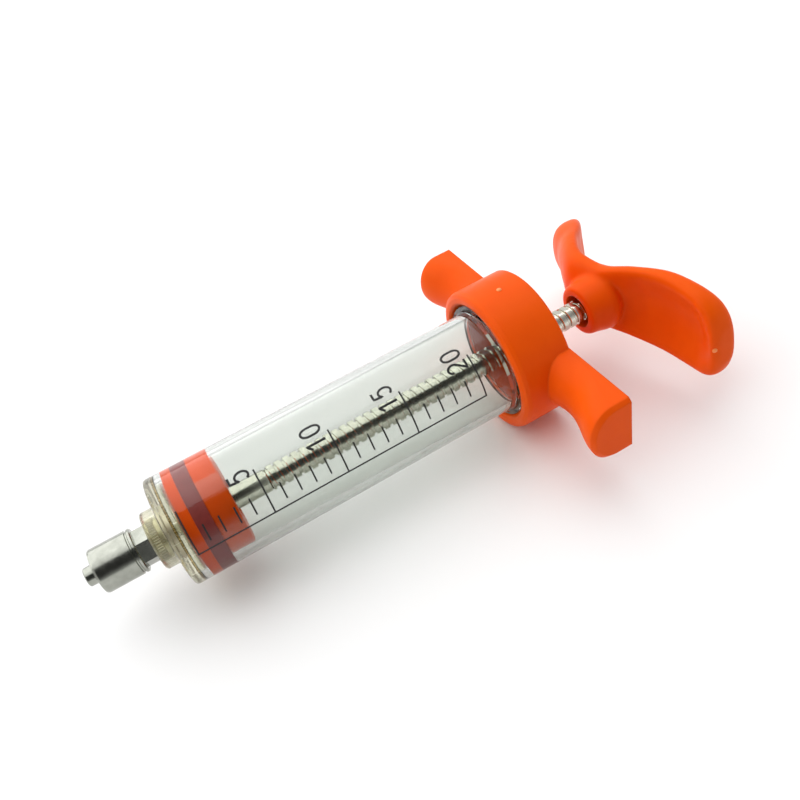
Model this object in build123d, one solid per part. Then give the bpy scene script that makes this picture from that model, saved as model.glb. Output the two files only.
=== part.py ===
from build123d import *
from math import copysign, cos, pi, sin
import os

# Twenty-millilitre reusable hand syringe.  Millimetres.  The frame has its origin at the tip of
# the Luer cone, +X along the bore towards the palm handle, the finger wings along Y and +Z up.
# It is drawn with the plunger fully home.

# Barrel
BORE_R = 9.9
BARREL_R = 11.75
FLANGE_R = 13.3
FLANGE_X = 94.0
BARREL_END = 99.2

# Luer nozzle: 6 % taper, 100 to 1
CONE_TIP_R = 1.98
CONE_LENGTH = 7.5
CONE_TAPER = 0.06
FLOW_R = 1.1
STEM_R = 3.0
COLLAR_X0 = 2.2
COLLAR_X1 = 11.2
COLLAR_R = 4.75
COLLAR_FLOOR = 1.9
LOCK_THREAD_R = 4.0
LOCK_CREST_R = 3.55
LOCK_PITCH = 2.5
NECK_X1 = 13.8
NECK_FLATS = 7.0
GASKET_THICK = 0.3

# Front cap
BOSS_X0 = 14.1
BOSS_R = 6.25
CAP_X0 = 17.6
CAP_X1 = 19.4
SPIGOT_X1 = 20.8
SEAM_THICK = 0.4
INSERT_R = 4.6
INSERT_X1 = 19.0
KNURL_COUNT = 28

# Piston
PISTON_X0 = 21.1
DISC_R = 9.8
FRONT_DISC_THICK = 2.3
SEAL_THICK = 3.2
SEAL_R = 9.88
REAR_DISC_THICK = 5.0
STUD_R = 2.0
SQUEEZE = 0.7
RUNNING_GAP = 0.05

# Rod
ROD_R = 2.65
SHANK_R = 2.5
ROOT_R = 2.4
THREAD_X0 = 39.5
THREAD_PITCH = 1.9
THREAD_LAND = 1.35
FLAT_ACROSS = 4.3
FLAT_ANGLE = 80.0
ROD_END = 126.0

# Finger grip
GRIP_X0 = 92.6
GRIP_X1 = 105.0
GRIP_R = 16.5
GRIP_MOUTH_R = 13.7
GRIP_FLOOR = 99.8
WING_SPAN = 68.0
WING_HALF_Z = 6.8
WING_NOSE = 5.2
BUSH_R = 4.2

# Palm handle
HUB_X0 = 117.9
HUB_R = 5.8
HUB_RECESS_R = 3.9
HUB_END = 127.6
HANDLE_ROLL = -6.8
ARM_SQUARENESS = 0.72
NEAR_SCOOP = 2.4
FAR_SCOOP = -0.5
NEAR_HOLLOW = 1.2
FAR_HOLLOW = 2.0
# (distance from the axis, front x, rear x, half height, height of the middle)
FAR_ARM = [
    (7.0, 122.0, 129.4, 8.6, 0.9), (14.0, 125.8, 132.6, 7.6, 1.6), (20.0, 129.0, 137.2, 6.6, 1.0),
    (24.5, 130.8, 139.4, 5.9, 0.2), (27.4, 132.4, 139.6, 4.6, -0.6), (28.9, 134.6, 138.6, 2.8, -1.0),
]
NEAR_ARM = [
    (0.0, 122.4, 128.0, 7.9, 0.7), (7.0, 124.8, 130.8, 9.2, 0.4), (14.0, 127.4, 134.6, 10.2, -0.7),
    (20.0, 128.4, 136.5, 10.3, -2.1), (24.5, 128.8, 137.4, 9.4, -3.3), (27.0, 130.2, 137.1, 7.2, -4.0),
    (28.1, 132.2, 136.2, 4.2, -4.3),
]
INSERT_NUT_R = 4.2


def turned(*points):
    """A solid of revolution about X from (x, radius) points."""
    return revolve(make_face(Polyline(*points, close=True)), Axis.X, 360)


def tube(x0, x1, r_out, r_in):
    return turned((x0, r_in), (x1, r_in), (x1, r_out), (x0, r_out))


def rod(x0, x1, radius):
    return turned((x0, 0), (x1, 0), (x1, radius), (x0, radius))


def around(solid, count):
    """The solid repeated evenly about the X axis."""
    return [Rot(X=360.0 * i / count) * solid for i in range(count)]


def block(x0, x1, y0, y1, z0, z1):
    size = Box(x1 - x0, y1 - y0, z1 - z0, align=(Align.MIN, Align.MIN, Align.MIN))
    return Pos(x0, y0, z0) * size


def cone_radius(x):
    return CONE_TIP_R + x * CONE_TAPER / 2


# --- nozzle end -------------------------------------------------------------------------------


def luer_nozzle():
    """Cone, stem, wrench flats and threaded tail, turned from one bar."""
    cone_end = cone_radius(CONE_LENGTH)
    body = turned(
        (0, 0), (0, CONE_TIP_R - 0.2), (0.2, cone_radius(0.2)), (CONE_LENGTH, cone_end),
        (COLLAR_X1 - COLLAR_FLOOR, cone_end), (COLLAR_X1 - COLLAR_FLOOR, STEM_R),
        (COLLAR_X1, STEM_R), (COLLAR_X1, 0),
    )
    hexagon = Plane.YZ.offset(COLLAR_X1) * RegularPolygon(NECK_FLATS / 2, 6, major_radius=False)
    neck = extrude(hexagon, NECK_X1 - COLLAR_X1)
    tail = rod(NECK_X1, INSERT_X1 - 0.6, STEM_R - 0.25)
    return body + neck + tail - rod(-1, INSERT_X1 + 1, FLOW_R)


def luer_lock_collar():
    """Female lock sleeve with its inside thread, pressed on the stem."""
    shell = turned(
        (COLLAR_X0, LOCK_CREST_R), (COLLAR_X0, COLLAR_R - 0.5), (COLLAR_X0 + 0.15, COLLAR_R - 0.15),
        (COLLAR_X0 + 0.5, COLLAR_R), (COLLAR_X1 - 1.2, COLLAR_R), (COLLAR_X1 - 1.05, COLLAR_R - 0.25),
        (COLLAR_X1 - 0.8, COLLAR_R - 0.25), (COLLAR_X1 - 0.65, COLLAR_R), (COLLAR_X1 - 0.2, COLLAR_R),
        (COLLAR_X1, COLLAR_R - 0.3), (COLLAR_X1, STEM_R), (COLLAR_X1 - COLLAR_FLOOR, STEM_R),
        (COLLAR_X1 - COLLAR_FLOOR, LOCK_CREST_R),
    )
    for turn in range(2):
        x = COLLAR_X0 + 0.9 + turn * LOCK_PITCH
        shell -= tube(x, x + LOCK_PITCH * 0.6, LOCK_THREAD_R, LOCK_CREST_R - 0.1)
    return shell


def nozzle_gasket():
    return tube(NECK_X1, NECK_X1 + GASKET_THICK, NECK_FLATS / 2 - 0.1, STEM_R - 0.2)


def nozzle_insert():
    """Knurled bush moulded into the cap; the nozzle screws into it."""
    bush = turned(
        (BOSS_X0, STEM_R - 0.25), (BOSS_X0, INSERT_R - 0.4), (BOSS_X0 + 0.5, INSERT_R - 0.4),
        (BOSS_X0 + 0.5, INSERT_R), (BOSS_X0 + 1.9, INSERT_R), (BOSS_X0 + 1.9, INSERT_R - 0.6),
        (BOSS_X0 + 2.6, INSERT_R - 0.6), (BOSS_X0 + 2.6, INSERT_R), (BOSS_X0 + 4.0, INSERT_R),
        (BOSS_X0 + 4.0, INSERT_R - 0.6), (INSERT_X1, INSERT_R - 0.6), (INSERT_X1, STEM_R - 0.25),
    )
    notch = Pos(0, INSERT_R, 0) * Rot(X=45) * Box(20, 0.45, 0.45)
    notch = Pos(BOSS_X0 + 2, 0, 0) * notch
    return bush - around(notch, KNURL_COUNT)


def insert_pocket():
    """The space the knurled bush fills in the cap."""
    return turned(
        (BOSS_X0, 0), (BOSS_X0, INSERT_R - 0.4), (BOSS_X0 + 0.5, INSERT_R - 0.4),
        (BOSS_X0 + 0.5, INSERT_R), (BOSS_X0 + 4.0, INSERT_R), (BOSS_X0 + 4.0, INSERT_R - 0.6),
        (INSERT_X1, INSERT_R - 0.6), (INSERT_X1, 0),
    )


def nose_cap():
    """Clear end cap: boss, flange and the spigot that fits inside the barrel."""
    body = turned(
        (BOSS_X0, 0), (BOSS_X0, BOSS_R - 0.3), (BOSS_X0 + 0.3, BOSS_R), (CAP_X0, BOSS_R),
        (CAP_X0, BARREL_R - 0.7), (CAP_X0 + 0.2, BARREL_R - 0.2), (CAP_X0 + 0.7, BARREL_R),
        (CAP_X1, BARREL_R), (CAP_X1, BORE_R - 0.02), (SPIGOT_X1 - 0.2, BORE_R - 0.02),
        (SPIGOT_X1, BORE_R - 0.22), (SPIGOT_X1, 0),
    )
    return body - insert_pocket() - rod(INSERT_X1 - 1, SPIGOT_X1 + 1, FLOW_R)


def nose_washer():
    return tube(CAP_X1, CAP_X1 + SEAM_THICK, BARREL_R - 0.05, BORE_R)


# --- barrel and grip --------------------------------------------------------------------------


def barrel():
    """Clear tube with the stepped rear flange that the grip holds."""
    front = CAP_X1 + SEAM_THICK
    return turned(
        (front, BORE_R), (front, BARREL_R), (FLANGE_X, BARREL_R),
        (FLANGE_X + 0.5, BARREL_R + 0.5), (FLANGE_X + 1.6, BARREL_R + 0.5),
        (FLANGE_X + 1.6, FLANGE_R - 0.2), (FLANGE_X + 1.8, FLANGE_R), (BARREL_END, FLANGE_R),
        (BARREL_END, BORE_R + 0.5), (BARREL_END - 0.8, BORE_R),
    )


def rear_seat_ring():
    return tube(BARREL_END, GRIP_FLOOR, FLANGE_R - 0.2, BORE_R + 1.0)


def rod_guide_bush():
    """Flanged bush pressed into the grip; the rod slides and turns in it."""
    hole = ROD_R + RUNNING_GAP
    return turned(
        (GRIP_FLOOR - 0.8, hole), (GRIP_FLOOR - 0.8, BUSH_R + 1.6), (GRIP_FLOOR, BUSH_R + 1.6),
        (GRIP_FLOOR, BUSH_R), (GRIP_X1 - 0.1, BUSH_R), (GRIP_X1 - 0.1, hole),
    )


def wing_section(y, depth, half_z):
    """A D-shaped section across the wing: flat towards the palm, rounded towards the nozzle."""
    back = Polyline((GRIP_X1 - depth + WING_NOSE, -half_z), (GRIP_X1, -half_z), (GRIP_X1, half_z),
                    (GRIP_X1 - depth + WING_NOSE, half_z))
    nose = EllipticalCenterArc((GRIP_X1 - depth + WING_NOSE, 0), WING_NOSE, half_z,
                               start_angle=90, arc_size=180)
    return Plane((0, y, 0), x_dir=(1, 0, 0), z_dir=(0, -1, 0)) * make_face([back, nose])


def wing():
    """One wing, shallow where the finger rests and deeper again at its tip."""
    end = WING_SPAN / 2
    depths = [(11.0, 8.4), (16.0, 7.2), (21.0, 6.4), (26.0, 7.3), (30.0, 8.8), (end - 0.8, 9.4)]
    bar = loft([wing_section(y, depth, WING_HALF_Z) for y, depth in depths])
    tip = [wing_section(end - 0.8, 9.4, WING_HALF_Z), wing_section(end, 8.6, WING_HALF_Z - 0.8)]
    return bar + loft(tip, ruled=True)


def finger_grip():
    """Ring with two finger wings that holds the barrel flange."""
    ring = turned(
        (GRIP_X0, 0), (GRIP_X0, GRIP_R - 1.2), (GRIP_X0 + 0.35, GRIP_R - 0.35),
        (GRIP_X0 + 1.2, GRIP_R), (GRIP_X1 - 0.4, GRIP_R), (GRIP_X1, GRIP_R - 0.4), (GRIP_X1, 0),
    )
    near_wing = wing()
    body = ring + near_wing + mirror(near_wing, Plane.XZ)
    mouth = turned(
        (GRIP_X0 - 1, 0), (GRIP_X0 - 1, GRIP_MOUTH_R + 0.5), (GRIP_X0, GRIP_MOUTH_R + 0.5),
        (GRIP_X0 + 0.5, GRIP_MOUTH_R), (GRIP_FLOOR, GRIP_MOUTH_R), (GRIP_FLOOR, 0),
    )
    return body - mouth - rod(GRIP_FLOOR - 1, GRIP_X1 + 1, BUSH_R)


# --- piston -----------------------------------------------------------------------------------


SEAL_X0 = PISTON_X0 + FRONT_DISC_THICK
SEAL_X1 = SEAL_X0 + SEAL_THICK
REAR_X1 = SEAL_X1 + REAR_DISC_THICK
SHOULDER_X0 = SEAL_X1 + 2.6
SHOULDER_X1 = SHOULDER_X0 + 1.6
SLEEVE_R = 3.2
SLEEVE_END = SEAL_X1 - SQUEEZE - 0.3
STUD_X0 = PISTON_X0 + 1.3 + SQUEEZE + 0.2


def piston_front_disc():
    disc = turned(
        (PISTON_X0, 0), (PISTON_X0, DISC_R - 0.3), (PISTON_X0 + 0.3, DISC_R), (SEAL_X0, DISC_R),
        (SEAL_X0, 0),
    )
    return disc - rod(PISTON_X0 + 0.9, SEAL_X0 + 1, SLEEVE_R + 1.4)


def piston_front_insert():
    """Threaded sleeve moulded into the front disc; the rod's stud screws into it."""
    x0 = PISTON_X0 + 0.9
    return turned(
        (x0, 0), (x0, SLEEVE_R + 1.4), (SEAL_X0, SLEEVE_R + 1.4), (SEAL_X0, SLEEVE_R),
        (SLEEVE_END, SLEEVE_R), (SLEEVE_END, STUD_R + RUNNING_GAP),
        (x0 + 0.4, STUD_R + RUNNING_GAP), (x0 + 0.4, 0),
    )


def piston_seal():
    """Rubber ring squeezed between the discs; two lips and a shallow waist."""
    middle = (SEAL_X0 + SEAL_X1) / 2
    return turned(
        (SEAL_X0, SLEEVE_R + 0.1), (SEAL_X0, SEAL_R), (SEAL_X0 + 1.0, SEAL_R),
        (middle, SEAL_R - 0.15), (SEAL_X1 - 1.0, SEAL_R), (SEAL_X1, SEAL_R),
        (SEAL_X1, SLEEVE_R + 0.1),
    )


def piston_rear_disc():
    disc = turned(
        (SEAL_X1, STUD_R + 0.2), (SEAL_X1, DISC_R), (REAR_X1 - 0.4, DISC_R),
        (REAR_X1, DISC_R - 0.4), (REAR_X1, STUD_R + 0.2),
    )
    return disc - rod(SHOULDER_X0 - 0.8, REAR_X1 + 1, SLEEVE_R + 1.2)


def thrust_washer():
    return tube(SHOULDER_X0 - 0.8, SHOULDER_X0 - RUNNING_GAP, SLEEVE_R + 1.1, STUD_R + 0.15)


# --- rod and handle ---------------------------------------------------------------------------


def plunger_rod():
    """Stud, thrust shoulder, plain shank and the long thread with two milled flats."""
    body = turned(
        (STUD_X0, 0), (STUD_X0, STUD_R - 0.3), (STUD_X0 + 0.3, STUD_R),
        (SHOULDER_X0, STUD_R), (SHOULDER_X0, SLEEVE_R + 0.8), (SHOULDER_X1, SLEEVE_R + 0.8),
        (SHOULDER_X1, SHANK_R), (THREAD_X0 - 0.4, SHANK_R), (THREAD_X0 + 0.2, ROOT_R),
        (THREAD_X0 + 0.6, ROOT_R), (THREAD_X0 + 0.9, ROD_R), (ROD_END - 0.5, ROD_R),
        (ROD_END, ROD_R - 0.5), (ROD_END, 0),
    )
    groove_width = THREAD_PITCH - THREAD_LAND
    count = int((HUB_X0 + 1 - THREAD_X0) / THREAD_PITCH)
    starts = [THREAD_X0 + 2.2 + i * THREAD_PITCH for i in range(count)]
    grooves = [tube(x, x + groove_width, ROD_R + 1, ROOT_R) for x in starts]
    reach = ROD_R + 2
    flat = block(THREAD_X0, HUB_X0 + 1.5, FLAT_ACROSS / 2, reach, -reach, reach)
    flats = [Rot(X=turn) * flat for turn in (FLAT_ANGLE, FLAT_ANGLE + 180)]
    return body - grooves - flats


def handle_insert():
    """Brass bush moulded into the hub; the rod end is fixed in it."""
    return tube(HUB_X0 + 3.0, ROD_END - 0.2, INSERT_NUT_R, ROD_R)


def squared(value):
    """A cosine or sine pushed towards plus or minus one, which squares a round section."""
    return copysign(abs(value) ** ARM_SQUARENESS, value)


def arm_section(y, front, rear, half_z, middle_z):
    """Section of an arm: scooped in front for the fingers and hollow behind for the palm."""
    scoop = FAR_SCOOP if y > 0 else NEAR_SCOOP
    palm = FAR_HOLLOW if y > 7 else NEAR_HOLLOW
    outline = []
    for i in range(25):
        turn = pi / 4 + 2 * pi * i / 24
        side = squared(cos(turn))
        height = squared(sin(turn))
        x = (front + rear) / 2 + side * (rear - front) / 2
        depth = palm if side > 0 else scoop
        hollow = -depth * side * (1 - height**2) * min(1.0, (rear - front) / 8.0)
        outline.append((x + hollow, y, middle_z + half_z * height))
    return make_face([Spline(*outline[i:i + 7]) for i in (0, 6, 12, 18)])


def arms():
    """Both arms, swept away from the nozzle, in one smooth loft from tip to tip."""
    near = [(-y, *rest) for y, *rest in reversed(NEAR_ARM)]
    return loft([arm_section(*station) for station in near + FAR_ARM])


def handle():
    """Palm handle with its hub and the recess round the rod."""
    hub = turned(
        (HUB_X0, 0), (HUB_X0, HUB_R - 0.8), (HUB_X0 + 0.8, HUB_R), (124.0, HUB_R),
        (127.0, HUB_R + 1.2), (HUB_END, HUB_R + 1.2), (HUB_END, 0),
    )
    body = arms() + hub
    body -= rod(HUB_X0 - 1, HUB_X0 + 3.0, HUB_RECESS_R)
    body -= rod(HUB_X0 + 2.0, ROD_END - 0.2, INSERT_NUT_R)
    body -= rod(HUB_X0, ROD_END, ROD_R)
    return Rot(X=HANDLE_ROLL) * body


PIECES = [
    luer_nozzle, luer_lock_collar, nozzle_gasket, nozzle_insert, nose_cap, nose_washer, barrel,
    rear_seat_ring, rod_guide_bush, finger_grip, piston_front_disc, piston_front_insert,
    piston_seal, piston_rear_disc, thrust_washer, plunger_rod, handle_insert, handle,
]


def main():
    os.makedirs("parts", exist_ok=True)
    for piece in PIECES:
        shape = piece()
        solids = shape.solids() if hasattr(shape, "solids") else [shape]
        solid = solids[0] if len(solids) == 1 else Compound(children=list(solids))
        solid.label = piece.__name__
        export_step(solid, f"parts/{piece.__name__}.step")
        print(f"{piece.__name__}: {solid.volume:.0f} mm3")


main()
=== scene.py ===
import math

import bmesh
import bpy
from mathutils import Matrix, Vector


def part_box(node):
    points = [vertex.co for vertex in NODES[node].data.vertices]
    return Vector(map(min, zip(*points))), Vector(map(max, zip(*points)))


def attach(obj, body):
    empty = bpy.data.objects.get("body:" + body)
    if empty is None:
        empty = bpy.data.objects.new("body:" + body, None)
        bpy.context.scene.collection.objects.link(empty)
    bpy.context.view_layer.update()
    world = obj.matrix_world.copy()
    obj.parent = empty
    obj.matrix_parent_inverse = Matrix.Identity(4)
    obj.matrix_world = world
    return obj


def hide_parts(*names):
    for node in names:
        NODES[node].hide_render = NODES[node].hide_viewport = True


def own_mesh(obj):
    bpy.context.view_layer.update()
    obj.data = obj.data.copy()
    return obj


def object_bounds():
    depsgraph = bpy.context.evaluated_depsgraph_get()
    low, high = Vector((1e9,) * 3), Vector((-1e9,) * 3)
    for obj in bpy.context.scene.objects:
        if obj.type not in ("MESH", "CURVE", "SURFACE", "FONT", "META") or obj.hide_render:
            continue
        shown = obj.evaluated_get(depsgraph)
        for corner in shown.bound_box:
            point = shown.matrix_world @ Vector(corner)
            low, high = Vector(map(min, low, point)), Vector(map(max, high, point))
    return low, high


# Twenty-millilitre hand syringe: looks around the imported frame. Metres, in the frame's own axes:
# the bore runs along +X from the Luer tip at the origin, the finger wings lie along Y, +Z is up.

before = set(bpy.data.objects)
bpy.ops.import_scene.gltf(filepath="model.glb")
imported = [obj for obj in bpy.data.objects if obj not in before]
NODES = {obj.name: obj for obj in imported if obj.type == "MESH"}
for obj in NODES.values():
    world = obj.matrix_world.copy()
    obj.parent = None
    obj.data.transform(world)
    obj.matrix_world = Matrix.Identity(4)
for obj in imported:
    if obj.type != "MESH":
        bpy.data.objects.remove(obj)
CAD_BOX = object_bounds()
MM = 0.001

# Graduation printed round the barrel, as angles about the bore from +Y towards +Z
CAPACITY_ML = 20
MARK_STEP = 5
BASELINE_ANGLE = math.radians(166.7)
LONG_ANGLE = math.radians(119.6)
SHORT_FROM = math.radians(159.4)
SHORT_TO = math.radians(141.8)
LINE_WIDTH = 0.34 * MM
DIGIT_LINE = 0.50 * MM
DIGIT_HEIGHT = 4.1 * MM
DIGIT_WIDTH = 2.2 * MM
DIGIT_PITCH = 2.8 * MM
DIGIT_GAP = 1.15 * MM
INK_THICK = 0.02 * MM
KNURL_TEETH = 56

# Turned and moulded sizes that the boxes don't give
BORE_R = 9.9 * MM
BARREL_R = 11.75 * MM
SCALE_ZERO = 21.3 * MM
SCALE_LENGTH = CAPACITY_ML * 1e-6 / (math.pi * BORE_R**2)
# How far the piston's rims press past the bore, and how far the seal is squeezed at the most
CONTACT = 0.03 * MM
# Rod: crest, root and shank radii, then the flats' distance from the axis and their direction
CREST_R = 2.65 * MM
ROOT_R = 2.2 * MM
SHANK_R = 2.5 * MM
FLAT_DISTANCE = 2.42 * MM
FLAT_ANGLE = math.radians(80)
THREAD_PITCH = 1.9 * MM
THREAD_X0 = 39.5 * MM
# Gate scars: where each one is, and which way it faces
GRIP_GATE = Vector((99.1, 0.2, 16.5)) * MM
GRIP_GATE_FACING = Vector((0, 0, 1))
HANDLE_GATE = Vector((131.4, -28.2, -0.9)) * MM
HANDLE_GATE_FACING = Vector((-0.35, -0.94, 0.1))
GATE_R = 0.55 * MM
GATE_FLATNESS = 0.45


# --- mesh helpers -----------------------------------------------------------------------------


def new_object(name, mesh):
    piece = bpy.data.objects.new(name, mesh)
    bpy.context.scene.collection.objects.link(piece)
    return piece


def finish_mesh(name, build, sharp=35.0):
    """A bmesh as a smooth-shaded object whose corners over `sharp` degrees stay crisp."""
    bmesh.ops.remove_doubles(build, verts=build.verts, dist=1e-7)
    bmesh.ops.dissolve_degenerate(build, edges=build.edges, dist=1e-8)
    bmesh.ops.recalc_face_normals(build, faces=build.faces)
    mesh = bpy.data.meshes.new(name)
    build.to_mesh(mesh)
    build.free()
    mesh.shade_smooth()
    mesh.set_sharp_from_angle(angle=math.radians(sharp))
    return new_object(name, mesh)


def grid_faces(build, rows, wrap_rows=False):
    """Quads between neighbouring rows of vertices; each row is a closed ring."""
    pairs = list(zip(rows, rows[1:]))
    if wrap_rows:
        pairs.append((rows[-1], rows[0]))
    for low, high in pairs:
        for i in range(len(low)):
            j = (i + 1) % len(low)
            corners = (low[i], low[j], high[j], high[i])
            if len(set(corners)) == 4:
                build.faces.new(corners)


def polar(x, radius, angle):
    return Vector((x, radius * math.cos(angle), radius * math.sin(angle)))


def lathe(name, profile, segments=224, shift=(0.0, 0.0)):
    """A closed (x, radius) outline turned about X; shift moves its axis in Y and Z."""
    build = bmesh.new()
    rows = []
    for x, radius in profile:
        ring = []
        for i in range(segments):
            point = polar(x, radius, math.tau * i / segments)
            ring.append(build.verts.new(point + Vector((0, *shift))))
        rows.append(ring)
    grid_faces(build, rows, wrap_rows=True)
    return finish_mesh(name, build)


# --- material helpers -------------------------------------------------------------------------


class Surface:
    """A material being built: short ways to add nodes and join them."""

    def __init__(self, name):
        self.material = bpy.data.materials.new(name)
        self.material.use_nodes = True
        self.tree = self.material.node_tree
        self.tree.nodes.clear()
        self.output = self.node("OutputMaterial")
        self.shader = self.node("BsdfPrincipled")
        self.place = self.node("TexCoord").outputs["Object"]

    def node(self, kind, **settings):
        made = self.tree.nodes.new("ShaderNode" + kind)
        for key, value in settings.items():
            setattr(made, key, value)
        return made

    def join(self, source, target):
        self.tree.links.new(source, target)

    def constant(self, **values):
        """Sets the shader's own sockets; an underscore stands for a space."""
        for key, value in values.items():
            self.shader.inputs[key.replace("_", " ")].default_value = value

    def noise(self, size, detail=4.0, rough=0.55, stretch=(1, 1, 1)):
        """Noise whose blotches are about `size` metres across, longer where stretch is larger."""
        mapping = self.node("Mapping")
        mapping.inputs["Scale"].default_value = [1.0 / (size * s) for s in stretch]
        texture = self.node("TexNoise")
        texture.inputs["Scale"].default_value = 1.0
        texture.inputs["Detail"].default_value = detail
        texture.inputs["Roughness"].default_value = rough
        self.join(self.place, mapping.inputs["Vector"])
        self.join(mapping.outputs["Vector"], texture.inputs["Vector"])
        return texture.outputs["Fac"]

    def spread(self, source, low, high, start=0.3, end=0.7):
        """Maps a source from start..end to low..high."""
        made = self.node("MapRange")
        for key, value in zip(("From Min", "From Max", "To Min", "To Max"), (start, end, low, high)):
            made.inputs[key].default_value = value
        self.join(source, made.inputs["Value"])
        return made.outputs["Result"]

    def blend(self, source, first, second):
        """A colour between first and second; either may be a colour or a socket."""
        mix = self.node("Mix", data_type="RGBA")
        self.join(source, mix.inputs["Factor"])
        for slot, value in (("A", first), ("B", second)):
            socket = [s for s in mix.inputs if s.name == slot and s.type == "RGBA"][0]
            if isinstance(value, tuple):
                socket.default_value = (*value, 1.0)
            else:
                self.join(value, socket)
        return [s for s in mix.outputs if s.type == "RGBA"][0]

    def bump(self, height, depth, below=None):
        """Adds a bump of `depth` metres for a height of 0 to 1."""
        made = self.node("Bump")
        made.inputs["Strength"].default_value = 1.0
        made.inputs["Distance"].default_value = depth
        self.join(height, made.inputs["Height"])
        if below is not None:
            self.join(below, made.inputs["Normal"])
        return made.outputs["Normal"]

    def edges(self, radius):
        """1 on convex and concave edges, 0 on open faces."""
        bevel = self.node("Bevel", samples=6)
        bevel.inputs["Radius"].default_value = radius
        normal = self.node("NewGeometry").outputs["Normal"]
        dot = self.node("VectorMath", operation="DOT_PRODUCT")
        self.join(bevel.outputs["Normal"], dot.inputs[0])
        self.join(normal, dot.inputs[1])
        return self.spread(dot.outputs["Value"], 1.0, 0.0, 0.80, 0.995)

    def rounded(self, radius):
        """Normals that round every corner by `radius`."""
        bevel = self.node("Bevel", samples=6)
        bevel.inputs["Radius"].default_value = radius
        return bevel.outputs["Normal"]

    def colour(self, source):
        self.join(source, self.shader.inputs["Base Color"])

    def roughness(self, source):
        self.join(source, self.shader.inputs["Roughness"])

    def normal(self, source):
        self.join(source, self.shader.inputs["Normal"])

    def done(self, clear_to_light=None):
        """Joins the shader to the output. clear_to_light is the tint that light passes with."""
        shader = self.shader.outputs["BSDF"]
        if clear_to_light:
            through = self.node("BsdfTransparent")
            through.inputs["Color"].default_value = (*clear_to_light, 1.0)
            mix = self.node("MixShader")
            self.join(self.node("LightPath").outputs["Is Shadow Ray"], mix.inputs["Fac"])
            self.join(shader, mix.inputs[1])
            self.join(through.outputs["BSDF"], mix.inputs[2])
            shader = mix.outputs["Shader"]
        self.join(shader, self.output.inputs["Surface"])
        return self.material


# --- materials --------------------------------------------------------------------------------


def orange_plastic():
    """Glossy moulded nylon: faint flow mottling, fine orange peel, softened edges with a painted
    highlight along them.
    """
    s = Surface("orange_plastic")
    s.constant(IOR=1.5, Specular_IOR_Level=0.06, Subsurface_Weight=0.04, Subsurface_Scale=0.0015)
    s.shader.inputs["Subsurface Radius"].default_value = (1.0, 0.25, 0.08)
    flow = s.spread(s.noise(9 * MM, detail=3.0), 0.0, 1.0)
    body = s.blend(flow, (0.85, 0.096, 0.003), (0.80, 0.083, 0.002))
    # Painted highlight: every edge, convex and concave, is lightened towards a paler orange.
    edge_highlight = s.blend(s.spread(s.edges(0.4 * MM), 0.0, 0.25, 0.0, 1.0), body, (0.95, 0.16, 0.02))
    s.colour(edge_highlight)
    s.roughness(s.spread(s.noise(3.5 * MM, detail=6.0), 0.30, 0.42))
    soft = s.rounded(0.55 * MM)
    peel = s.bump(s.noise(0.6 * MM, detail=2.0), 0.006 * MM, below=soft)
    s.normal(s.bump(s.noise(6 * MM, detail=1.0), 0.04 * MM, below=peel))
    return s.done()


def turned_metal(name, light, dark, roughness, ring=0.09 * MM):
    """Plated metal with fine turning rings, cloudy gloss and small rubs."""
    s = Surface(name)
    s.constant(Metallic=1.0)
    cloud = s.noise(2.5 * MM, detail=5.0)
    s.colour(s.blend(s.spread(cloud, 0.0, 1.0), light, dark))
    s.roughness(s.spread(s.noise(1.2 * MM, detail=6.0), roughness * 0.75, roughness * 1.3))
    rings = s.noise(ring, detail=2.0, stretch=(1, 60, 60))
    fine = s.bump(rings, 0.0022 * MM)
    s.normal(s.bump(s.noise(1.4 * MM, detail=2.0), 0.006 * MM, below=fine))
    return s.done()


def clear_plastic(name, tint, light_tint, ior, haze, clear=1.0):
    """Clear moulded plastic: slight flow waves, hairline scuffs along the bore."""
    s = Surface(name)
    s.constant(Transmission_Weight=clear, IOR=ior, Specular_IOR_Level=0.14)
    wash = s.spread(s.noise(14 * MM, detail=2.0), 0.0, 1.0)
    s.colour(s.blend(wash, tint, tuple(min(1.0, c * 1.02) for c in tint)))
    scuff = s.noise(0.25 * MM, detail=3.0, stretch=(40, 1, 1))
    s.roughness(s.spread(scuff, haze * 0.5, haze * 2.0, 0.45, 0.75))
    s.normal(s.bump(s.noise(7 * MM, detail=1.0, stretch=(3, 1, 1)), 0.02 * MM))
    return s.done(clear_to_light=light_tint)


def rubber(name, light, dark, roughness):
    s = Surface(name)
    s.colour(s.blend(s.spread(s.noise(1.5 * MM, detail=6.0), 0.0, 1.0), light, dark))
    s.roughness(s.spread(s.noise(0.8 * MM), roughness * 0.85, roughness * 1.15))
    s.normal(s.bump(s.noise(0.2 * MM, detail=3.0), 0.008 * MM))
    return s.done()


def scale_ink():
    """Matt black screen print, slightly thin in places."""
    s = Surface("scale_ink")
    s.colour(s.blend(s.spread(s.noise(0.4 * MM), 0.0, 1.0), (0.006, 0.006, 0.007), (0.02, 0.02, 0.02)))
    s.roughness(s.spread(s.noise(0.3 * MM), 0.45, 0.65))
    s.normal(s.bump(s.noise(0.08 * MM), 0.003 * MM))
    return s.done()


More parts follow.
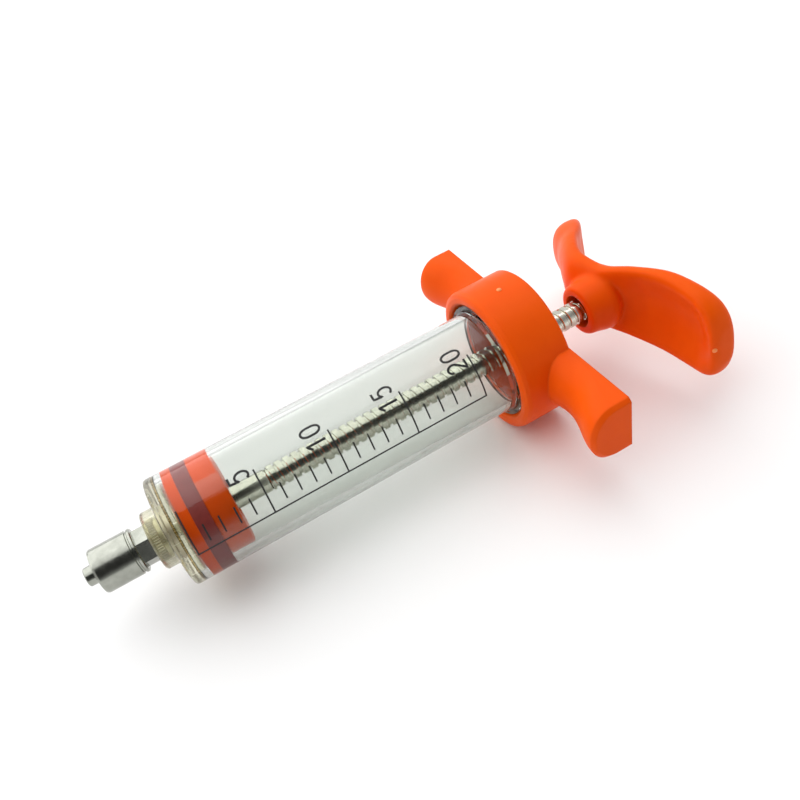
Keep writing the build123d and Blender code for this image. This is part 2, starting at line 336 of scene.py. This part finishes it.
ORANGE = orange_plastic()
PLATED = turned_metal("plated_metal", (0.40, 0.41, 0.365), (0.31, 0.32, 0.28), 0.20)
STEEL = turned_metal("rod_steel", (0.70, 0.69, 0.60), (0.58, 0.57, 0.49), 0.16)
# Painted shade: the thread's root faces are near-black, though they are the same steel as the crests.
GROOVE_SHADE = turned_metal("thread_root_shade", (0.07, 0.065, 0.05), (0.04, 0.036, 0.028), 0.35)
BRASS = turned_metal("insert_brass", (0.84, 0.82, 0.72), (0.72, 0.70, 0.60), 0.36)
CLEAR = clear_plastic("clear_barrel", (0.75, 0.775, 0.745), (0.90, 0.92, 0.90), 1.44, 0.03)
OLIVE = clear_plastic("clear_cap", (0.70, 0.69, 0.55), (0.80, 0.78, 0.62), 1.46, 0.18, 0.92)
AMBER = clear_plastic("amber_seam", (0.70, 0.56, 0.30), (0.80, 0.70, 0.48), 1.50, 0.25)
SEAL = rubber("seal_rubber", (0.27, 0.030, 0.024), (0.21, 0.022, 0.018), 0.42)
BLACK = rubber("black_rubber", (0.012, 0.012, 0.012), (0.022, 0.021, 0.020), 0.55)
CREAM = rubber("cream_ring", (0.72, 0.42, 0.26), (0.60, 0.32, 0.18), 0.45)
# A lighter orange than the plastic round it, for the small gate bumps.
LIGHT_ORANGE_DOT = rubber("light_orange_dot", (0.93, 0.30, 0.07), (0.90, 0.24, 0.05), 0.40)
INK = scale_ink()


def paint(piece, material):
    piece.data.materials.clear()
    piece.data.materials.append(material)
    return piece


# --- nozzle bush ------------------------------------------------------------------------------


def knurled_bush():
    """The bush moulded into the cap, with two bands of fine straight knurling."""
    low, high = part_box("nozzle_insert")
    top = 4.6 * MM
    waist = 4.0 * MM
    bands = [(0.5, 1.9), (2.6, 4.0)]
    outline = [(low.x, 2.75 * MM, 0), (low.x, waist + 0.2 * MM, 0)]
    for start, end in bands:
        outline += [(low.x + start * MM, waist, 0), (low.x + (start + 0.12) * MM, top - 0.1 * MM, 1),
                    (low.x + (end - 0.12) * MM, top - 0.1 * MM, 1), (low.x + end * MM, waist, 0)]
    outline += [(high.x, waist, 0), (high.x, 2.75 * MM, 0)]
    build = bmesh.new()
    steps = KNURL_TEETH * 8
    rows = []
    for x, radius, cut in outline:
        ring = []
        for i in range(steps):
            tooth = cut * 0.12 * MM * math.cos(math.tau * i / 8)
            ring.append(build.verts.new(polar(x, radius + tooth, math.tau * i / steps)))
        rows.append(ring)
    grid_faces(build, rows, wrap_rows=True)
    place(finish_mesh("knurled_bush", build), "barrel_assembly", BRASS, "brass", "nozzle_insert")


# --- barrel, cap and seam ---------------------------------------------------------------------


def place(piece, body, material, slot, *replaced):
    """Rides the piece on its body, paints it and lets it stand for CAD nodes."""
    paint(piece, material)
    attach(piece, body)
    if replaced:
        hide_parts(*replaced)
    return piece


def clear_tube():
    """The barrel with its stepped rear flange."""
    low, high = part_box("barrel")
    rim = high.y
    neck_x = 92.0 * MM
    step = 1.1 * MM
    outline = [
        (low.x, BORE_R), (low.x, BARREL_R), (neck_x, BARREL_R), (neck_x + 0.5 * MM, BARREL_R + 0.5 * MM),
        (neck_x + step, BARREL_R + 0.5 * MM), (neck_x + step, rim - 0.2 * MM),
        (neck_x + step + 0.2 * MM, rim), (high.x - 0.3 * MM, rim), (high.x, rim - 0.3 * MM),
        (high.x, BORE_R + 0.5 * MM), (high.x - 0.8 * MM, BORE_R),
    ]
    return place(lathe("barrel_tube", outline, 288), "barrel_assembly", CLEAR, "clear_barrel", "barrel")


# --- printed scale ----------------------------------------------------------------------------


def arc(centre, radii, start, end, steps=12):
    """Points on an ellipse from one angle to another, in degrees."""
    angles = [math.radians(start + (end - start) * i / steps) for i in range(steps + 1)]
    return [(centre[0] + radii[0] * math.cos(a), centre[1] + radii[1] * math.sin(a)) for a in angles]


def glyph(digit):
    """Strokes of a digit in a box one wide and one high, read left to right, top at 1."""
    if digit == "0":
        loop = arc((0.5, 0.64), (0.42, 0.36), 0, 180) + arc((0.5, 0.36), (0.42, 0.36), 180, 360)
        return [loop + loop[:1]]
    if digit == "1":
        return [[(0.12, 0.76), (0.55, 1.0), (0.55, 0.0)]]
    if digit == "2":
        return [arc((0.5, 0.70), (0.40, 0.30), 165, -38) + [(0.08, 0.0), (0.95, 0.0)]]
    bowl = arc((0.46, 0.34), (0.44, 0.34), 118, -140, 16)
    return [[(0.86, 1.0), (0.20, 1.0), (0.14, 0.52)] + bowl]


def resample(points, step):
    """The same line with extra points, so that it can bend round the barrel."""
    line = [points[0]]
    for a, b in zip(points, points[1:]):
        count = max(1, math.ceil(math.dist(a, b) / step))
        line += [(a[0] + (b[0] - a[0]) * i / count, a[1] + (b[1] - a[1]) * i / count)
                 for i in range(1, count + 1)]
    return line


def stroke(build, points, width):
    """A thin closed ribbon of ink along (x, angle) points, laid on the barrel's skin."""
    flat = [(x, angle * BARREL_R) for x, angle in points]
    flat = resample(flat, 0.35 * MM)
    rows = []
    for i, (x, s) in enumerate(flat):
        before = flat[max(i - 1, 0)]
        after = flat[min(i + 1, len(flat) - 1)]
        run = Vector((after[0] - before[0], after[1] - before[1])).normalized()
        side = Vector((-run.y, run.x)) * width / 2
        ring = []
        for sign, radius in ((1, -INK_THICK / 4), (1, INK_THICK), (-1, INK_THICK), (-1, -INK_THICK / 4)):
            angle = (s + sign * side.y) / BARREL_R
            ring.append(build.verts.new(polar(x + sign * side.x, BARREL_R + radius, angle)))
        rows.append(ring)
    grid_faces(build, rows)
    build.faces.new(rows[0])
    build.faces.new(list(reversed(rows[-1])))


def mark_x(volume):
    return SCALE_ZERO + SCALE_LENGTH * volume / CAPACITY_ML


def scale_lines():
    build = bmesh.new()
    stroke(build, [(mark_x(0) - LINE_WIDTH / 2, BASELINE_ANGLE),
                   (mark_x(CAPACITY_ML) + LINE_WIDTH / 2, BASELINE_ANGLE)], LINE_WIDTH)
    for volume in range(CAPACITY_ML + 1):
        x = mark_x(volume)
        ends = (SHORT_FROM, SHORT_TO)
        if volume % MARK_STEP == 0:
            ends = (BASELINE_ANGLE, LONG_ANGLE)
        stroke(build, [(x, ends[0]), (x, ends[1])], LINE_WIDTH)
    return finish_mesh("scale_marks", build)


def scale_numbers():
    """Numbers read upwards round the barrel, with their tops towards the nozzle."""
    build = bmesh.new()
    for volume in range(MARK_STEP, CAPACITY_ML + 1, MARK_STEP):
        digits = str(volume)
        start = -(len(digits) - 1) / 2
        for place_in_row, digit in enumerate(digits):
            middle = LONG_ANGLE - (start + place_in_row) * DIGIT_PITCH / BARREL_R
            for line in glyph(digit):
                points = [(mark_x(volume) - DIGIT_GAP - v * DIGIT_HEIGHT,
                           middle - (u - 0.5) * DIGIT_WIDTH / BARREL_R) for u, v in line]
                stroke(build, points, DIGIT_LINE)
    return finish_mesh("scale_numbers", build)


# --- piston -----------------------------------------------------------------------------------


def piston_pieces():
    """Discs and seal whose rims press on the bore, so that they read at full width through it."""
    contact = BORE_R + CONTACT
    low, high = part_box("piston_front_disc")
    sleeve = 4.6 * MM
    front = [
        (low.x, 0), (low.x, contact - 0.35 * MM), (low.x + 0.1 * MM, contact - 0.1 * MM),
        (low.x + 0.3 * MM, contact), (high.x, contact), (high.x, sleeve), (low.x + 0.9 * MM, sleeve),
        (low.x + 0.9 * MM, 0),
    ]
    place(lathe("piston_front", front), "piston_nose", ORANGE, "orange_plastic", "piston_front_disc")
    low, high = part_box("piston_seal")
    ring = [(low.x, 3.3 * MM), (low.x, contact), (high.x, contact), (high.x, 3.3 * MM)]
    seal = place(lathe("seal_ring", ring), "piston_carrier", SEAL, "seal_rubber", "piston_seal")
    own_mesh(seal)
    low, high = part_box("piston_rear_disc")
    radius = (high.y - low.y) / 2
    lean = contact - radius
    rear = [
        (low.x, 2.2 * MM), (low.x, radius), (high.x - 0.4 * MM, radius),
        (high.x - 0.12 * MM, radius - 0.12 * MM), (high.x, radius - 0.4 * MM), (high.x, 4.4 * MM),
        (high.x - 3.2 * MM, 4.4 * MM), (high.x - 3.2 * MM, 2.2 * MM),
    ]
    up = (lean * math.cos(math.radians(60)), lean * math.sin(math.radians(60)))
    piece = lathe("piston_rear", rear, shift=up)
    place(piece, "piston_carrier", ORANGE, "orange_plastic", "piston_rear_disc")


# --- rod --------------------------------------------------------------------------------------


def thread_radius(radius, angle, flats):
    """The radius at an angle once the two flats are milled off."""
    for flat in flats:
        facing = math.cos(angle - flat)
        if facing > 0.1:
            radius = min(radius, FLAT_DISTANCE / facing)
    return radius


def helix_rows(build, x_from, x_to, crest, flats, steps=144):
    """Rings that climb one pitch per turn: crest, flank, root, flank."""
    profile = [(0.00, crest - 0.10 * MM), (0.06, crest), (0.62, crest), (0.68, crest - 0.10 * MM),
               (0.72, ROOT_R), (0.96, ROOT_R)]
    turns = int((x_to - x_from) / THREAD_PITCH) + 2
    rows = []
    for turn in range(-1, turns):
        for share, radius in profile:
            start = x_from + (turn + share) * THREAD_PITCH
            row = []
            for i in range(steps + 1):
                angle = math.tau * i / steps
                x = min(max(start + THREAD_PITCH * i / steps, x_from), x_to)
                row.append(build.verts.new(polar(x, thread_radius(radius, angle, flats), angle)))
            rows.append(row)
    return rows


def in_groove(corners):
    """True for a face at the bottom of the thread, away from the flats; these faces take the painted
    groove shade.
    """
    return all(abs(math.hypot(v.co.y, v.co.z) - ROOT_R) < 0.01 * MM for v in corners)


def plunger_rod():
    """Shank, thrust shoulder and the long helical thread with two flats."""
    low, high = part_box("plunger_rod")
    flats = (FLAT_ANGLE, FLAT_ANGLE + math.pi)
    build = bmesh.new()
    rows = helix_rows(build, THREAD_X0, high.x, CREST_R, flats)
    for first, second in zip(rows, rows[1:]):
        for i in range(len(first) - 1):
            corners = (first[i], first[i + 1], second[i + 1], second[i])
            if (corners[0].co - corners[2].co).length > 1e-7:
                face = build.faces.new(corners)
                # Root faces take the second slot, the painted groove shade.
                face.material_index = int(in_groove(corners))
    piece = finish_mesh("rod_thread", build, sharp=25)
    place(piece, "plunger", STEEL, "plain_steel", "plunger_rod")
    # Second slot: the painted groove shade on the thread's root.
    piece.data.materials.append(GROOVE_SHADE)
    shoulder = low.x + 5.0 * MM
    outline = [
        (low.x, 0), (low.x, 1.7 * MM), (low.x + 0.3 * MM, 2.0 * MM), (shoulder, 2.0 * MM),
        (shoulder, 4.0 * MM), (shoulder + 1.6 * MM, 4.0 * MM), (shoulder + 1.6 * MM, SHANK_R),
        (THREAD_X0 - 0.6 * MM, SHANK_R), (THREAD_X0, ROOT_R), (THREAD_X0 + 0.4 * MM, ROOT_R * 0.9),
        (THREAD_X0 + 0.4 * MM, 0),
    ]
    place(lathe("rod_shank", outline), "plunger", STEEL, "plain_steel")


# --- palm handle ------------------------------------------------------------------------------


HANDLE_ROLL = math.radians(-6.8)
RECESS_R = 3.9 * MM
HANDLE_VOXEL = 0.30 * MM
# Exponent that squares a round section, then how deep each face is scooped, in millimetres
SQUARENESS = 0.74
NEAR_SCOOP = 4.6
FAR_SCOOP = -0.6
PALM_HOLLOW = 1.1
FAR_HOLLOW = 2.6
# (distance from the axis, front x, rear x, half height, height of the middle), in millimetres
FAR_ARM = (
    (0.0, 122.4, 127.6, 8.0, 0.7), (7.0, 121.4, 127.6, 8.7, 0.9), (14.0, 124.6, 131.4, 7.9, 1.5),
    (20.0, 128.0, 137.0, 7.3, 0.9), (24.5, 129.8, 139.6, 6.9, 0.2), (27.4, 131.2, 139.8, 5.9, -0.5),
    (29.0, 133.6, 138.8, 4.0, -0.9),
)
NEAR_ARM = (
    (0.0, 122.4, 128.0, 8.0, 0.7), (7.0, 124.8, 130.9, 9.2, 0.4), (14.0, 127.4, 134.6, 10.3, -0.7),
    (20.0, 128.4, 136.6, 10.4, -2.1), (24.5, 128.8, 137.6, 9.7, -3.3), (27.0, 130.0, 137.3, 7.8, -4.0),
    (28.3, 132.0, 136.4, 4.4, -4.3),
)


def between(table, at):
    """The table's row at a distance, on smooth curves that are level at the first row."""
    rows = [[-table[1][0], *table[1][1:]], *table, table[-1]]
    i = max(k for k in range(1, len(rows) - 2) if rows[k][0] <= at + 1e-9)
    before, low, high, after = rows[i - 1:i + 3]
    span = high[0] - low[0]
    t = (at - low[0]) / span
    row = []
    for column in range(1, len(low)):
        lead = (high[column] - before[column]) / max(high[0] - before[0], 1e-9) * span
        trail = (after[column] - low[column]) / max(after[0] - low[0], 1e-9) * span
        low_part = (2 * t**3 - 3 * t**2 + 1) * low[column] + (t**3 - 2 * t**2 + t) * lead
        high_part = (3 * t**2 - 2 * t**3) * high[column] + (t**3 - t**2) * trail
        row.append(low_part + high_part)
    return row


def arm_ring(build, y, steps=72):
    """One section of the arms: a squared oval, scooped in front and hollow behind."""
    reach = abs(y)
    front, rear, half_z, middle_z = between(FAR_ARM if y > 0 else NEAR_ARM, reach)
    fade = min(1.0, max(0.0, (27.5 - reach) / 5.0)) * min(1.0, reach / 9.0)
    scoop = (FAR_SCOOP if y > 0 else NEAR_SCOOP) * fade**0.7
    hollow = (FAR_HOLLOW if y > 0 else PALM_HOLLOW) * fade
    ring = []
    for i in range(steps):
        turn = math.tau * i / steps
        side = math.copysign(abs(math.cos(turn)) ** SQUARENESS, math.cos(turn))
        height = math.copysign(abs(math.sin(turn)) ** SQUARENESS, math.sin(turn))
        depth = hollow if side > 0 else scoop
        x = (front + rear) / 2 + side * ((rear - front) / 2 - depth * (1 - height**2))
        ring.append(build.verts.new(Vector((x, y, middle_z + half_z * height)) * MM))
    return ring


def arms(build):
    """Both arms from tip to tip, closed at the ends."""
    rings = []
    for i in range(121):
        swing = math.sin(math.pi * (i / 120 - 0.5))
        reach = FAR_ARM[-1][0] if swing > 0 else NEAR_ARM[-1][0]
        rings.append(arm_ring(build, reach * swing))
    grid_faces(build, rings)
    build.faces.new(rings[0])
    build.faces.new(list(reversed(rings[-1])))


def hub(build, x0, steps=96):
    """The hub's outside, flared where it runs into the arms."""
    profile = [
        (x0, 0.0), (x0, 5.5 * MM), (x0 + 0.5 * MM, 6.0 * MM), (x0 + 2.4 * MM, 6.2 * MM),
        (x0 + 5.0 * MM, 6.9 * MM), (x0 + 6.6 * MM, 6.9 * MM), (x0 + 8.9 * MM, 5.0 * MM),
        (x0 + 8.9 * MM, 0.0),
    ]
    rows = []
    for x, radius in profile:
        ring = [build.verts.new(polar(x, max(radius, 1e-6), math.tau * i / steps)) for i in range(steps)]
        rows.append(ring)
    grid_faces(build, rows)
    build.faces.new(rows[0])
    build.faces.new(list(reversed(rows[-1])))


def apply_modifiers(piece):
    """Bakes the piece's modifiers into its mesh."""
    graph = bpy.context.evaluated_depsgraph_get()
    baked = bpy.data.meshes.new_from_object(piece.evaluated_get(graph))
    piece.modifiers.clear()
    piece.data = baked


def palm_handle():
    """Arms and hub grown together, with a crisp recess round the rod."""
    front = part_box("handle")[0].x
    roll = Matrix.Rotation(HANDLE_ROLL, 3, "X")
    build = bmesh.new()
    arms(build)
    hub(build, front)
    bmesh.ops.recalc_face_normals(build, faces=build.faces)
    bmesh.ops.rotate(build, verts=build.verts, cent=(0, 0, 0), matrix=roll)
    piece = finish_mesh("palm_handle", build)
    remesh = piece.modifiers.new("join", "REMESH")
    remesh.mode = "VOXEL"
    remesh.voxel_size = HANDLE_VOXEL
    smooth = piece.modifiers.new("soften", "SMOOTH")
    smooth.iterations = 40
    smooth.factor = 0.5
    outline = [(front - 2 * MM, 0), (front - 2 * MM, RECESS_R), (front + 3 * MM, RECESS_R),
               (front + 3 * MM, 0)]
    recess = lathe("recess", outline, 96)
    cut = piece.modifiers.new("recess", "BOOLEAN")
    cut.operation = "DIFFERENCE"
    cut.object = recess
    apply_modifiers(piece)
    bpy.data.objects.remove(recess)
    piece.data.shade_smooth()
    piece.data.set_sharp_from_angle(angle=math.radians(40))
    place(piece, "plunger", ORANGE, "orange_plastic", "handle")


def gate_mark(name, spot, outward, body):
    """The small round scar that the moulding gate leaves."""
    build = bmesh.new()
    bmesh.ops.create_uvsphere(build, u_segments=24, v_segments=12, radius=GATE_R)
    bmesh.ops.scale(build, vec=(1, 1, GATE_FLATNESS), verts=build.verts)
    turn = outward.to_track_quat("Z", "Y").to_matrix().to_4x4()
    build.transform(Matrix.Translation(spot) @ turn)
    # The bump is coloured a lighter orange than the plastic round it.
    place(finish_mesh(name, build), body, LIGHT_ORANGE_DOT, "orange_plastic")


# --- CAD nodes that keep their shape ----------------------------------------------------------


KEPT = {
    "luer_nozzle": PLATED, "luer_lock_collar": PLATED, "nozzle_gasket": BLACK,
    "nose_cap": OLIVE, "nose_washer": AMBER, "rear_seat_ring": CREAM, "rod_guide_bush": BRASS,
    "finger_grip": ORANGE, "piston_front_insert": BRASS, "thrust_washer": PLATED,
    "handle_insert": BRASS,
}


def dress_cad_nodes():
    for name, material in KEPT.items():
        node = NODES[name]
        paint(node, material)
        node.data.shade_smooth()
        node.data.set_sharp_from_angle(angle=math.radians(30))


# --- stage ------------------------------------------------------------------------------------


FLOOR_HALF = 3.0
FLOOR_GAP = 0.05 * MM
WORLD_STRENGTH = 0.90
DARK_SIDE = Vector((-0.22, -0.69, 0.69))
KEY_DIRECTION = Vector((-0.35, 0.55, 1.0))
KEY_DISTANCE = 1.3
KEY_SIDE = 2.8
KEY_POWER = 31.5


def floor():
    """A wide flat pale floor under the object."""
    mesh = bpy.data.meshes.new("floor")
    half = FLOOR_HALF
    z = CAD_BOX[0].z - FLOOR_GAP
    corners = [(-half, -half, z), (half, -half, z), (half, half, z), (-half, half, z)]
    mesh.from_pydata(corners, [], [(0, 1, 2, 3)])
    piece = new_object("floor", mesh)
    s = Surface("floor_white")
    s.colour(s.blend(s.spread(s.noise(0.2), 0.0, 1.0), (0.92, 0.92, 0.92), (0.90, 0.90, 0.90)))
    s.roughness(s.spread(s.noise(0.01), 0.85, 0.95))
    paint(piece, s.done())


def softbox(aim):
    """A large square light, above and behind the object."""
    lamp = bpy.data.lights.new("key", "AREA")
    lamp.shape = "RECTANGLE"
    lamp.size = KEY_SIDE
    lamp.size_y = KEY_SIDE
    lamp.energy = KEY_POWER
    holder = bpy.data.objects.new("key", lamp)
    out = KEY_DIRECTION.normalized()
    holder.location = aim + out * KEY_DISTANCE
    holder.rotation_euler = (-out).to_track_quat("-Z", "Y").to_euler()
    bpy.context.scene.collection.objects.link(holder)


def studio(aim):
    """White tent with a darker opening on the camera's side, and one large softbox above."""
    world = bpy.data.worlds.new("studio")
    bpy.context.scene.world = world
    world.use_nodes = True
    tree = world.node_tree
    background = tree.nodes["Background"]
    place_node = tree.nodes.new("ShaderNodeTexCoord")
    dot = tree.nodes.new("ShaderNodeVectorMath")
    dot.operation = "DOT_PRODUCT"
    dot.inputs[1].default_value = DARK_SIDE.normalized()
    ramp = tree.nodes.new("ShaderNodeValToRGB")
    ramp.color_ramp.elements[0].position = 0.55
    ramp.color_ramp.elements[0].color = (1.0, 1.0, 1.0, 1.0)
    ramp.color_ramp.elements[1].position = 0.90
    ramp.color_ramp.elements[1].color = (0.05, 0.05, 0.05, 1.0)
    tree.links.new(place_node.outputs["Generated"], dot.inputs[0])
    tree.links.new(dot.outputs["Value"], ramp.inputs["Fac"])
    tree.links.new(ramp.outputs["Color"], background.inputs["Color"])
    background.inputs["Strength"].default_value = WORLD_STRENGTH
    softbox(aim)


CAMERA_EYE = Vector((33.5, -120.4, 122.0)) * MM
CAMERA_TURN = [math.radians(a) for a in (45.34, 11.60, -28.82)]
CAMERA_LENS = 36.9
CAMERA_SENSOR = 36.0


def camera():
    lens = bpy.data.cameras.new("camera")
    lens.lens = CAMERA_LENS
    lens.sensor_width = CAMERA_SENSOR
    lens.clip_start = 0.01
    holder = bpy.data.objects.new("camera", lens)
    holder.location = CAMERA_EYE
    holder.rotation_euler = CAMERA_TURN
    bpy.context.scene.collection.objects.link(holder)
    bpy.context.scene.camera = holder


def build():
    dress_cad_nodes()
    knurled_bush()
    clear_tube()
    place(scale_lines(), "barrel_assembly", INK, "black_rubber")
    place(scale_numbers(), "barrel_assembly", INK, "black_rubber")
    piston_pieces()
    plunger_rod()
    palm_handle()
    gate_mark("grip_gate", GRIP_GATE, GRIP_GATE_FACING, "barrel_assembly")
    gate_mark("handle_gate", HANDLE_GATE, HANDLE_GATE_FACING, "plunger")
    floor()
    studio((CAD_BOX[0] + CAD_BOX[1]) / 2)
    camera()
    bpy.context.scene.view_settings.view_transform = "Standard"


build()
